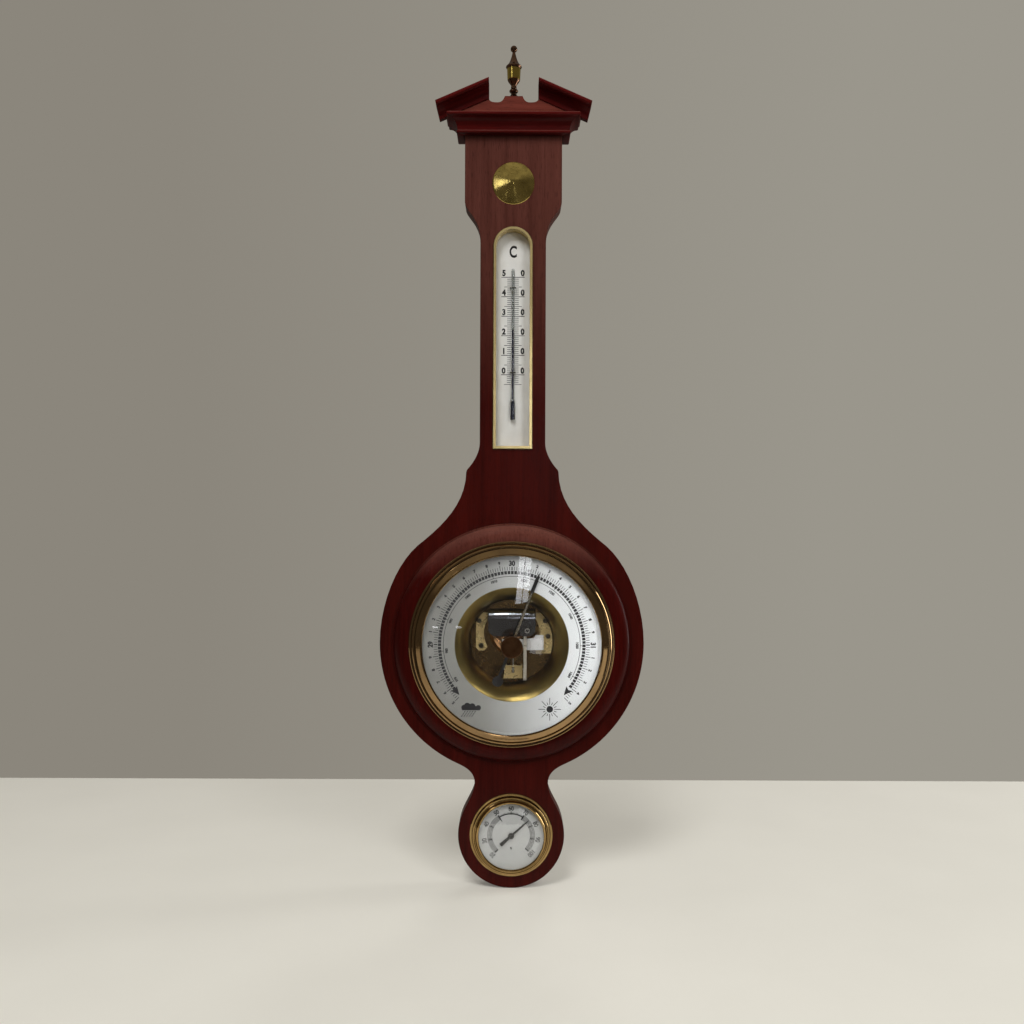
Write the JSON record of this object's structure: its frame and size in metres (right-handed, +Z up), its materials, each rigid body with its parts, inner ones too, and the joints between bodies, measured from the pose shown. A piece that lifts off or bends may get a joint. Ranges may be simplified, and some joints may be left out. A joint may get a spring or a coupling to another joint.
{
  "type": "ship barometer",
  "caption": "Wall-hung banjo barometer: wooden case with broken pediment and brass finial, arched thermometer, aneroid dial with open centre, hygrometer in the foot.",
  "frame": {"origin": "centre of the hanging eye, in the plane of the back that lies on the wall", "axes": "+Z up along the case, the dials look along -Y, +X to the right seen from the front"},
  "size_m": [0.2176, 0.0482, 0.6984],
  "materials": {
    "mahogany": "satin",
    "cherry_moulding": "satin",
    "beech": "matte",
    "polished_brass": "polished",
    "aged_brass": "satin",
    "gilt_brass": "polished",
    "case_brass": "satin",
    "capsule_bronze": "satin",
    "bright_steel": "polished",
    "screw_steel": "satin",
    "blued_steel": "polished",
    "black_hand": "satin",
    "white_enamel": "satin",
    "clear_glass": "polished",
    "blue_spirit": "polished"
  },
  "bodies": {
    "case": {"back_board": "mahogany", "dial_surround": "mahogany", "pediment_board": "mahogany", "pediment_dowels": "beech", "cornice_moulding": "cherry_moulding", "cornice_return_left": "cherry_moulding", "cornice_return_right": "cherry_moulding", "raking_moulding_left": "cherry_moulding", "raking_moulding_right": "cherry_moulding", "finial_base": "aged_brass", "finial_drum": "polished_brass", "finial_spire": "aged_brass", "finial_stud": "screw_steel", "rosette": "polished_brass", "rosette_pin": "case_brass", "hanger_plate": "case_brass", "hanger_screws": "screw_steel", "case_straps": "case_brass", "strap_screw_set": "screw_steel", "thermometer_frame": "polished_brass", "thermometer_plate": "white_enamel", "thermometer_tube": "clear_glass", "thermometer_spirit": "blue_spirit", "tube_staples": "bright_steel", "barometer_bezel": "polished_brass", "barometer_glass": "clear_glass", "glass_ring": "bright_steel", "glass_bush": "aged_brass", "barometer_dial": "white_enamel", "dial_cup": "gilt_brass", "barometer_can": "case_brass", "base_plate": "gilt_brass", "wing_plate": "gilt_brass", "plate_pillars": "case_brass", "movement_screws": "bright_steel", "capsule": "capsule_bronze", "capsule_studs": "case_brass", "main_spring": "bright_steel", "spring_screws": "bright_steel", "rocker_bracket": "gilt_brass", "chain": "bright_steel", "hairspring": "blued_steel", "arbor_cock": "gilt_brass", "hygrometer_bezel": "polished_brass", "hygrometer_glass": "clear_glass", "hygrometer_dial": "white_enamel", "hygrometer_coil": "capsule_bronze", "coil_bridge": "case_brass", "hygrometer_can": "case_brass"},
    "pointer_group": {"pointer": "blued_steel", "pointer_arbor": "bright_steel"},
    "rocker": {"rocker_shaft": "bright_steel"},
    "lever": {"main_lever": "bright_steel", "link_rod": "bright_steel"},
    "set_hand_group": {"set_hand_knob": "aged_brass", "set_hand": "polished_brass", "drag_washer": "bright_steel"},
    "adjuster": {"adjusting_screw": "case_brass"},
    "hygrometer_hand_group": {"hygrometer_hand": "black_hand", "hygrometer_arbor": "bright_steel"}
  },
  "joints": [
    {"name": "pointer_turn", "type": "hinge", "parent": "case", "child": "pointer_group", "pos_m": [0, -0.0316, -0.398], "axis": [0, 1, 0], "range_deg": [-155.9, 114.1], "deforming": ["hairspring", "chain"]},
    {"name": "rocker_turn", "type": "hinge", "parent": "case", "child": "rocker", "pos_m": [0, -0.009, -0.421], "axis": [1, 0, 0], "range_deg": [-15, 12]},
    {"name": "lever_swing", "type": "hinge", "parent": "case", "child": "lever", "pos_m": [0.011, -0.0167, -0.386], "axis": [1, 0, 0], "range_deg": [-3, 2.5], "deforming": ["main_spring"]},
    {"name": "set_hand_turn", "type": "hinge", "parent": "case", "child": "set_hand_group", "pos_m": [0, -0.0396, -0.398], "axis": [0, 1, 0], "continuous": true},
    {"name": "adjuster_turn", "type": "hinge", "parent": "case", "child": "adjuster", "pos_m": [0, -0.002, -0.391], "axis": [0, 1, 0], "range_deg": [-360, 360]},
    {"name": "hygrometer_hand_turn", "type": "hinge", "parent": "case", "child": "hygrometer_hand_group", "pos_m": [0, -0.0223, -0.556], "axis": [0, 1, 0], "range_deg": [-185.4, 83.3], "deforming": ["hygrometer_coil"]}
  ],
  "couplings": [
    {"joint": "rocker_turn", "follows": "pointer_turn", "ratio": 0.09},
    {"joint": "lever_swing", "follows": "pointer_turn", "ratio": 0.015}
  ]
}
